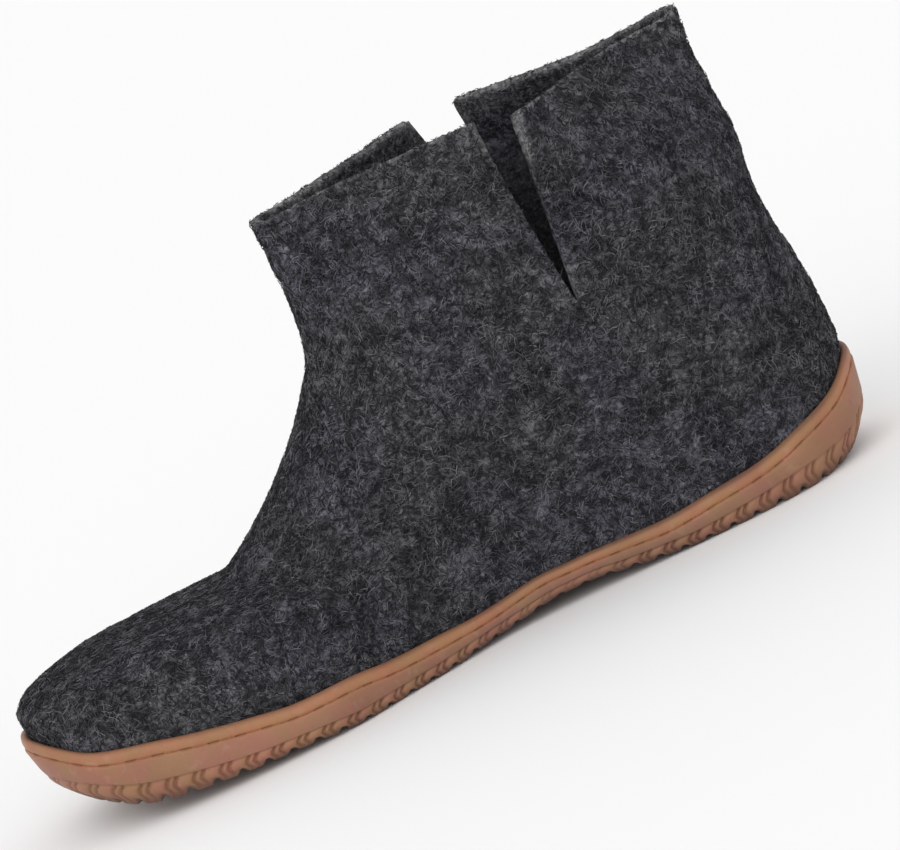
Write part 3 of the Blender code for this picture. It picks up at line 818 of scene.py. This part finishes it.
def section_points(row, side, panel):
    """One panel's points on one side of a row of the upper, from back to front."""
    tip, top = (middle_height(dict(zip(SECTION_COLUMNS, SECTIONS[i]))) for i in (SLIT_TIP_SECTION, -1))
    opening = max(0.0, (middle_height(row) - tip) / (top - tip))
    length = row["back_x"] - row["front_x"]
    middle = SLIT_TIP_X + opening * (SLIT_TOP_X[side] - SLIT_TIP_X)
    middle = (row["back_x"] - middle) / length
    half_gap = opening ** SLIT_BOW * SLIT_HALF_GAP[side] / length
    turns = panel_turns(panel, middle - half_gap, middle + half_gap)
    share = share_at(turns)
    x = row["back_x"] - share * length
    z = row["back_z"] + share * (row["front_z"] - row["back_z"]) - row["sag"] * 4 * share * (1 - share)
    plan_width = outline_at("half_width", x) + FELT_BULGE
    width = row["foot_share"] * plan_width + (1 - row["foot_share"]) * row["half_width"]
    pinch = (row["back_pinch"], row["front_pinch"])
    fold = crease(share, length, pinch)
    width = fold + (width - fold) * rounding(share, (row["back_bluntness"], row["front_bluntness"]), pinch)
    nearness = np.linspace(0, 1, len(turns)) ** 2
    if panel == "front":
        nearness = nearness[::-1]
    out, droop, lean, sag = PANEL_CORNERS[side, panel]
    width = width + out * opening * nearness
    along = (share - share[0]) / (share[-1] - share[0])
    z = z - droop * opening * nearness - sag * opening ** 2 * np.sin(math.pi * along) ** 2
    x = x + lean * opening ** 3 * nearness
    if side == "medial":
        dip, reach = COLLAR_DIP[panel]
        fold_distance = np.minimum(share, 1 - share) * length / reach
        z = z - dip * opening ** 2 * np.clip(fold / CREASE_RADIUS, 0, 1) * soft_bump(fold_distance ** 2)
    y = row["foot_share"] * outline_at("centre", x) + SIDES[side] * width
    return np.column_stack([x, y, z])


def panel_grid(side, panel):
    """Rows of points of one panel on one side of the upper, from its seat in the cup to the collar."""
    slit = 0.5 - SLIT_TIP_X / FELT_LENGTH
    plan = plan_points(side, panel_turns(panel, slit, slit))
    seat, lip = (sole_line(name, plan[:, 0]) + GAP for name in ("floor", "lip"))
    rows = [np.column_stack([plan, seat + (lip - seat) * k / SEAT_ROWS]) for k in range(SEAT_ROWS)]
    at_lip = np.column_stack([plan, lip])
    above = [section_points(row, side, panel) for row in section_rows()]
    for rise, swell in SWELL:
        rows.append(at_lip + (above[0] - at_lip) * np.array([swell, swell, rise]))
    return rows + above


def add_grid(mesh_builder, rows):
    """Adds a sheet of quads through rows of points."""
    grid = [[mesh_builder.verts.new(point) for point in row] for row in rows]
    for low, high in zip(grid, grid[1:]):
        for j in range(len(low) - 1):
            mesh_builder.faces.new((low[j], low[j + 1], high[j + 1], high[j]))


# Soft dents that handling has left in the felt: middle in x, y and z, reach along x, y and z, depth inwards.
DENTS = (
    (-52.0, -22.0, 52.0, 16.0, 22.0, 9.0, 0.9),
    (-30.0, -30.0, 62.0, 20.0, 20.0, 11.0, 0.7),
    (-52.0, 22.0, 54.0, 18.0, 22.0, 9.0, 0.9),
    (18.0, -38.0, 72.0, 26.0, 20.0, 9.0, 0.8),
    (92.0, -36.0, 84.0, 22.0, 20.0, 12.0, 0.7),
    (90.0, 36.0, 78.0, 26.0, 20.0, 12.0, 0.8),
    (20.0, 36.0, 100.0, 18.0, 18.0, 14.0, 0.8),
    (112.0, -24.0, 120.0, 14.0, 18.0, 20.0, 0.7),
    (139.0, 0.0, 111.0, 16.0, 20.0, 10.0, -0.8),
    (139.0, 0.0, 136.0, 16.0, 20.0, 11.0, 1.0),
)
# Unevenness of the felt's face: size of its lumps and their height.
LUMPS = ((14.0, 0.30), (5.0, 0.24), (2.2, 0.16))


def point_values(mesh, name):
    """The places or the normals of a mesh's points, one row each."""
    values = np.empty(len(mesh.vertices) * 3)
    mesh.vertices.foreach_get(name, values)
    return values.reshape(-1, 3)


def roughen(mesh, lumps, dents):
    """Moves a mesh's points along their normals by dents and by noise of several sizes."""
    points, normals = point_values(mesh, "co") / MM, point_values(mesh, "normal")
    move = np.zeros(len(points))
    for size, height in lumps:
        move += height * np.array([noise.noise(Vector(point / size)) for point in points])
    for x, y, z, reach_x, reach_y, reach_z, depth in dents:
        away = (points - (x, y, z)) / (reach_x, reach_y, reach_z)
        move -= depth * soft_bump((away ** 2).sum(axis=1))
    mesh.vertices.foreach_set("co", ((points + normals * move[:, None]) * MM).ravel())
    mesh.update()


FELT_DARK = (0.0085, 0.0083, 0.0105, 1.0)
FELT_LIGHT = (0.212, 0.209, 0.216, 1.0)
FELT_COOL = (0.208, 0.204, 0.25, 1.0)
# Raw edges are paler, because their fibres were cut loose. In a slit that paleness fades out, as painted
# shade, over this way down from the collar, and only a share of it is left at the felt's inner edge.
CUT_DARK = (0.06, 0.06, 0.065, 1.0)
CUT_LIGHT = (0.4, 0.396, 0.395, 1.0)
CUT_REACH = 26.0
INNER_CUT = 0.35
# Painted shade on the felt inside: it darkens down from the collar over this reach.
INSIDE_SHADE_DARK = (0.016, 0.0157, 0.018, 1.0)
INSIDE_SHADE_LIGHT = (0.07, 0.069, 0.075, 1.0)
INSIDE_SHADE_REACH = 42.0
# Fibres that show in the felt's face: scale of the noise whose level lines they follow, per metre, half width
# of a line in the noise's value, and where the layer's pattern starts. The lines follow its middle value.
FIBRE_LAYERS = ((420, 0.05, 0.0), (560, 0.06, 3.7))
NOISE_MIDDLE = 0.5
# Patterns in the wool, as in the rubber: clouds, grain, clumps a few millimetres across, and cooler wool.
FELT_CLOUDS = (60, 3, 0.0, 0.3, 0.7)
GRAIN = (640, 2, 0.75, 0.3, 0.72)
CLUMPS = (210, 2, 0.0, 0.32, 0.68)
COOL_WOOL = (28, 1, 0.0, 0.35, 0.65)
# Their shares in how bright the felt is, and in its bump.
FIBRE_SHARE = 0.24
GRAIN_SHARE = 0.46
CLUMP_SHARE = 0.2
CLOUD_SHARE = 0.24
FIBRE_HEIGHT = 0.7
GRAIN_HEIGHT = 0.6

# Clouded, crossed by bent paler fibres of every direction and pitted between them.
felt, felt_shader, coords = new_material("charcoal_felt", roughness=0.95, Specular_IOR_Level=0.06)
fibres = 0.0
for scale, width, start in FIBRE_LAYERS:
    moved = coords.vector("ADD", coords, (start, start, -start))
    line = 1 - abs(moved.noise(scale, 1.0, 1.0) - NOISE_MIDDLE).rise(0.0, width)
    fibres = coords.math("MAXIMUM", fibres, line)
wool_patterns = (FELT_CLOUDS, GRAIN, CLUMPS, COOL_WOOL)
felt_cloud, grain, clumps, cool = (coords.pattern(*sizes) for sizes in wool_patterns)
bright = fibres * FIBRE_SHARE + grain * GRAIN_SHARE + clumps * CLUMP_SHARE + felt_cloud * CLOUD_SHARE
bright = bright * bright
face_colour = bright.mix(FELT_DARK, cool.mix(FELT_LIGHT, FELT_COOL))
# Painted shade inside the boot, and paler raw edges that fade out down the slits as painted shade.
for tone_mask, colours in {"inside_shade": (INSIDE_SHADE_DARK, INSIDE_SHADE_LIGHT), "cut": (CUT_DARK, CUT_LIGHT)}.items():
    face_colour = coords.point_value(tone_mask).mix(face_colour, bright.mix(*colours))
plug(felt_shader, "Base Color", face_colour)
give_bump(felt_shader, fibres * FIBRE_HEIGHT + grain * GRAIN_HEIGHT, strength=0.8, distance=0.5)

# Solidify numbers the faces that it makes by these slots, which all hold the one felt.
FELT_FACES = {"outside": 0, "cut": 1, "inside": 2}
# A cut face is the collar's, not a slit's, where its normal points up by more than this.
COLLAR_SLOPE = 0.7
# How sharp the cut edges stay.
CUT_CREASE = 0.75

sheet = bmesh.new()
for side in SIDES:
    for panel in ("rear", "front"):
        add_grid(sheet, panel_grid(side, panel))
bmesh.ops.remove_doubles(sheet, verts=sheet.verts, dist=WELD)
bmesh.ops.recalc_face_normals(sheet, faces=sheet.faces)
shell = finished("felt_shell", sheet, [felt] * len(FELT_FACES))
wall = shell.modifiers.new("felt_wall", "SOLIDIFY")
wall.thickness = FELT_WALL * MM
wall.offset = -1.0
wall.use_even_offset = True
wall.material_offset = FELT_FACES["inside"]
wall.material_offset_rim = FELT_FACES["cut"]
wall.edge_crease_rim = CUT_CREASE
wall.edge_crease_outer = CUT_CREASE
wall.edge_crease_inner = CUT_CREASE
rounder = shell.modifiers.new("rounder", "SUBSURF")
rounder.levels = 1
rounder.render_levels = 1
upper_mesh = bpy.data.meshes.new_from_object(shell.evaluated_get(bpy.context.evaluated_depsgraph_get()))
bpy.data.objects.remove(shell)
upper_mesh.name = "felt_upper"
roughen(upper_mesh, LUMPS, DENTS)
felt_points = point_values(upper_mesh, "co") / MM
on_face = {name: np.zeros(len(felt_points), bool) for name in FELT_FACES}
at_collar = np.zeros(len(felt_points), bool)
face_names = list(FELT_FACES)
for polygon in upper_mesh.polygons:
    corners = list(polygon.vertices)
    on_face[face_names[polygon.material_index]][corners] = True
    if polygon.material_index == FELT_FACES["cut"] and polygon.normal.z > COLLAR_SLOPE:
        at_collar[corners] = True
below_collar = SECTIONS[-1, 3] - felt_points[:, 2]
# Painted shade inside, darker down from the collar.
inside_shade = on_face["inside"] * smooth_step(below_collar / INSIDE_SHADE_REACH)
# Raw cut faces are paler, and down a slit that paleness fades out as painted shade.
cut = np.where(at_collar, 1.0, on_face["cut"] * (1 - smooth_step(below_collar / CUT_REACH)))
cut[on_face["inside"]] *= INNER_CUT
store(upper_mesh, "inside_shade", inside_shade)
store(upper_mesh, "cut", cut)
upper = add_object("felt_upper", upper_mesh)
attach(upper, "root")
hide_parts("upper")

# Fuzz
# Loose ends of wool that stand and curl over the felt's face, thinner inside and on the cut collar. They are
# what makes the outline soft and the face hairy.

# Two layers on each side, one matted down and one that stands off: radius, curl, lift of their ends and seed.
FUZZ_COLUMNS = ("radius", "curl", "lift", "seed")
FUZZ_LAYERS = {
    "matted": (0.23, 2.0, 0.05, 11),
    "loose": (0.18, 2.4, 0.45, 23),
}
# Fibres in a layer, radius and angle of their bend, range of their sizes, how much thinner they are at the
# end, and the scale per metre of the noise that they curl with.
FIBRES_A_LAYER = 13500
BEND_RADIUS = 4.0
BEND = 0.75
FIBRE_SIZES = (0.5, 1.3)
FIBRE_TAPER = 0.6
CURLS_PER_METRE = 330.0
# How thickly they grow on the cut collar and inside, and how far over the lip they start.
CUT_EDGE_FUZZ = 0.4
INSIDE_FUZZ = 0.3
FUZZ_START = 0.5
WOOL_DARK = (0.018, 0.0177, 0.021, 1.0)
WOOL_LIGHT = (0.174, 0.171, 0.187, 1.0)
# How pale the fibres are between the clumps, to which the clumps add up to 1.
BETWEEN_CLUMPS = 0.35

wool, wool_shader, coords = new_material("loose_wool", roughness=0.9, Specular_IOR_Level=0.1)
shade = coords.point_value("shade")
paleness = shade * shade * (BETWEEN_CLUMPS + coords.pattern(*CLUMPS))
plug(wool_shader, "Base Color", paleness.mix(WOOL_DARK, WOOL_LIGHT))

fuzz_tree = NodeTree(
    "fuzz", Felt="Geometry", Density="Float", Cover="String", Bend_radius="Float", Bend="Float",
    Radius="Float", Curl="Float", Lift="Float", Seed="Int", Material="Material",
)
cover = fuzz_tree.node("GeometryNodeInputNamedAttribute", {"Name": fuzz_tree["Cover"]}, data_type="FLOAT")
roots = fuzz_tree.node("GeometryNodeDistributePointsOnFaces", {
    "Mesh": fuzz_tree["Felt"], "Density": cover * fuzz_tree["Density"], "Seed": fuzz_tree["Seed"],
})
root_shade = fuzz_tree.node("FunctionNodeRandomValue", {
    "Seed": fuzz_tree["Seed"],
}, output=1, data_type="FLOAT")
shaded_roots = fuzz_tree.node("GeometryNodeStoreNamedAttribute", {
    "Geometry": roots, "Name": "shade", "Value": root_shade,
}, data_type="FLOAT", domain="POINT")
fibre_way = fuzz_tree.node("FunctionNodeEulerToRotation", {
    "Euler": fuzz_tree.node("FunctionNodeRandomValue", {
        "Min": (0.0, 0.0, -math.pi), "Max": (0.0, 0.0, math.pi), "Seed": 3,
    }, data_type="FLOAT_VECTOR"),
})
fibre_turn = fuzz_tree.node("FunctionNodeRotateRotation", {
    "Rotation": roots.other("Rotation"), "Rotate By": fibre_way,
}, rotation_space="LOCAL")
fibre_spread = fuzz_tree.node("FunctionNodeRandomValue", {
    2: FIBRE_SIZES[0], 3: FIBRE_SIZES[1], "Seed": 5,
}, output=1, data_type="FLOAT")
fibre_arc = fuzz_tree.node("GeometryNodeCurveArc", {
    "Resolution": 3, "Radius": fuzz_tree["Bend_radius"], "Sweep Angle": fuzz_tree["Bend"],
}, mode="RADIUS")
to_arc_start = fuzz_tree.vector("SCALE", (-1.0, 0.0, 0.0), Scale=fuzz_tree["Bend_radius"])
fibre_line = fuzz_tree.node("GeometryNodeTransform", {"Geometry": fibre_arc, "Translation": to_arc_start})
fibres_placed = fuzz_tree.node("GeometryNodeRealizeInstances", {
    "Geometry": fuzz_tree.node("GeometryNodeInstanceOnPoints", {
        "Points": shaded_roots, "Instance": fibre_line, "Rotation": fibre_turn, "Scale": fibre_spread * cover,
    }),
})
from_root = fuzz_tree.node("GeometryNodeSplineParameter")
curl_noise = fuzz_tree.node("ShaderNodeTexNoise", {"Scale": CURLS_PER_METRE, "Detail": 1.0}, output="Color")
swirl = fuzz_tree.vector("SUBTRACT", curl_noise, (NOISE_MIDDLE, NOISE_MIDDLE, NOISE_MIDDLE))
fibres_curled = fuzz_tree.node("GeometryNodeSetPosition", {
    "Geometry": fibres_placed,
    "Offset": fuzz_tree.vector("SCALE", swirl, Scale=from_root * fuzz_tree["Curl"]),
})
felt_face = fuzz_tree.node("GeometryNodeProximity", {"Geometry": fuzz_tree["Felt"]}, target_element="FACES")
felt_way = fuzz_tree.node("GeometryNodeSampleNearestSurface", {
    "Mesh": fuzz_tree["Felt"], "Value": fuzz_tree.node("GeometryNodeInputNormal"),
}, data_type="FLOAT_VECTOR")
fibre_height = fuzz_tree.math("MULTIPLY_ADD", from_root, fuzz_tree["Lift"], fuzz_tree["Radius"])
fibres_laid = fuzz_tree.node("GeometryNodeSetPosition", {
    "Geometry": fibres_curled,
    "Position": fuzz_tree.vector("ADD", felt_face, fuzz_tree.vector("SCALE", felt_way, Scale=fibre_height)),
})
fibre_taper = fuzz_tree.math("MULTIPLY_ADD", from_root, -FIBRE_TAPER, 1.0)
fibre_tubes = fuzz_tree.node("GeometryNodeCurveToMesh", {
    "Curve": fibres_laid,
    "Profile Curve": fuzz_tree.node("GeometryNodeCurvePrimitiveCircle", {
        "Resolution": 3, "Radius": fuzz_tree["Radius"],
    }),
    "Scale": fibre_taper,
    "Fill Caps": True,
})
fuzz_tree.finish(fibre_tubes)

# Full growth outside, thin inside and thinner still where the inside has painted shade, thin on the cut
# collar, none in the slits or down in the cup.
above_lip = felt_points[:, 2] > sole_line("lip", felt_points[:, 0]) + FUZZ_START
growth = np.where(on_face["inside"], INSIDE_FUZZ * (1 - inside_shade), 1.0) * above_lip
growth[on_face["cut"]] = CUT_EDGE_FUZZ * at_collar[on_face["cut"]]
for side, way in SIDES.items():
    cover_name = "fuzz_" + side
    on_side = growth * (felt_points[:, 1] * way > 0)
    store(upper_mesh, cover_name, on_side)
    covered = sum(on_side[list(face.vertices)].mean() * face.area for face in upper_mesh.polygons)
    for layer, row in FUZZ_LAYERS.items():
        sizes = dict(zip(FUZZ_COLUMNS, row))
        fuzz = made_real("felt_fuzz_" + side + "_" + layer, upper, fuzz_tree, {
            "Density": FIBRES_A_LAYER / covered,
            "Cover": cover_name,
            "Bend_radius": BEND_RADIUS * MM,
            "Bend": BEND,
            "Radius": sizes["radius"] * MM,
            "Curl": sizes["curl"] * MM,
            "Lift": sizes["lift"] * MM,
            "Seed": sizes["seed"] + way,
            "Material": wool,
        })
        fuzz.data.shade_smooth()
        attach(fuzz, "root")

# Floor, light and camera
# A pale seamless floor under soft light from all round and a wide soft sun. A long lens looks a little down
# on the boot, rolled as in the photograph.

FLOOR_REACH = 12.0
FLOOR_COLOUR = (0.94, 0.94, 0.94, 1.0)
SKY_COLOUR = (1.0, 1.0, 1.0, 1.0)
SKY_STRENGTH = 0.9
SUN_STRENGTH = 0.9
SUN_WIDTH = math.radians(70)
SUN_TURN = (math.radians(62), 0.0, math.radians(-20))

floor_mesh = bmesh.new()
bmesh.ops.create_grid(floor_mesh, x_segments=1, y_segments=1, size=FLOOR_REACH)
floor_data = bpy.data.meshes.new("floor")
floor_mesh.to_mesh(floor_data)
floor_mesh.free()
floor = add_object("floor", floor_data)
floor_data.materials.append(new_material("floor_paper", roughness=0.9, Base_Color=FLOOR_COLOUR)[0])

bpy.context.scene.view_settings.view_transform = "Standard"
world = bpy.data.worlds.new("studio")
bpy.context.scene.world = world
world.use_nodes = True
sky = world.node_tree.nodes["Background"]
sky.inputs["Color"].default_value = SKY_COLOUR
sky.inputs["Strength"].default_value = SKY_STRENGTH
lamp = bpy.data.lights.new("soft_key", "SUN")
lamp.energy = SUN_STRENGTH
lamp.angle = SUN_WIDTH
add_object("soft_key", lamp).rotation_euler = SUN_TURN

CAMERA_AZIMUTH = math.radians(-4.357)
CAMERA_ELEVATION = math.radians(10.818)
CAMERA_ROLL = math.radians(-25.328)
CAMERA_DISTANCE = 1.4
CAMERA_TARGET = Vector((0.01927, 0.0, 0.0626))
CAMERA_LENS = 178.5
CAMERA_SENSOR = 36.0

back = Vector((
    math.sin(CAMERA_AZIMUTH) * math.cos(CAMERA_ELEVATION),
    -math.cos(CAMERA_AZIMUTH) * math.cos(CAMERA_ELEVATION),
    math.sin(CAMERA_ELEVATION),
))
lens = bpy.data.cameras.new("camera")
lens.lens = CAMERA_LENS
lens.sensor_width = CAMERA_SENSOR
camera = add_object("camera", lens)
level = (-back).to_track_quat("-Z", "Y").to_matrix()
camera.matrix_world = Matrix.LocRotScale(
    CAMERA_TARGET + back * CAMERA_DISTANCE, level @ Matrix.Rotation(CAMERA_ROLL, 3, "Z"), None
)
bpy.context.scene.camera = camera
